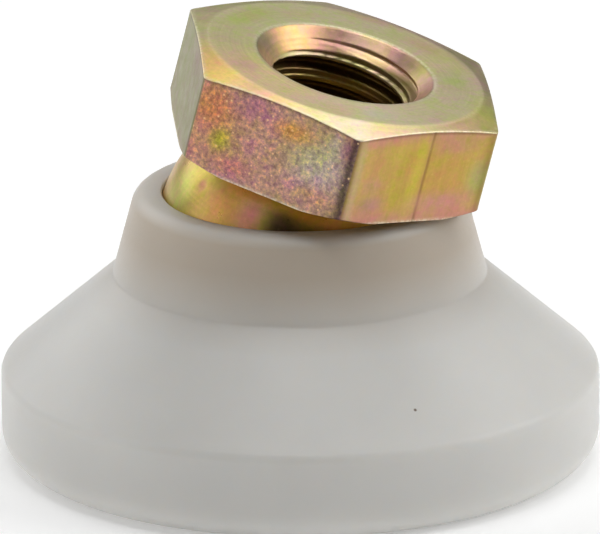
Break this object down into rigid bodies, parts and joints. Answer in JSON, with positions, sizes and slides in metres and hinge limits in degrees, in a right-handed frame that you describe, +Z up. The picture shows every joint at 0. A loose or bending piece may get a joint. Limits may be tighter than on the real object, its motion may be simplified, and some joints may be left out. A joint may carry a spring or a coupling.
{
  "type": "swivel levelling foot",
  "caption": "Swivel levelling foot: a plated steel hexagon nut with a ball under it, snapped into a flared white plastic base, tapped to take a leg's stud.",
  "frame": {"origin": "centre of the round face that stands on the floor", "axes": "+Z up through the foot, and +X on the side that the nut leans to, apart from the 21.88 degrees that its lean is turned towards -Y"},
  "size_m": [0.0476, 0.0476, 0.0352],
  "materials": {
    "white_plastic": "milky white moulded acetal, slightly translucent",
    "plated_ball": "turned steel, yellow zinc plated, iridescent",
    "plated_nut": "drawn and turned steel, yellow zinc plated, iridescent"
  },
  "bodies": {
    "foot": {"foot_base": "white_plastic"},
    "ball": {"swivel_ball": "plated_ball"},
    "nut": {"hex_nut": "plated_nut"}
  },
  "joints": [
    {"name": "nut_tilt", "type": "hinge", "parent": "foot", "child": "ball", "pos_m": [0, 0, 0.01753], "axis": [0.3727, 0.928, 0], "range_deg": [-29.8, 0]},
    {"name": "nut_spin", "type": "hinge", "parent": "ball", "child": "nut", "pos_m": [0, 0, 0.01753], "axis": [0.2386, -0.0958, 0.9664], "continuous": true}
  ]
}
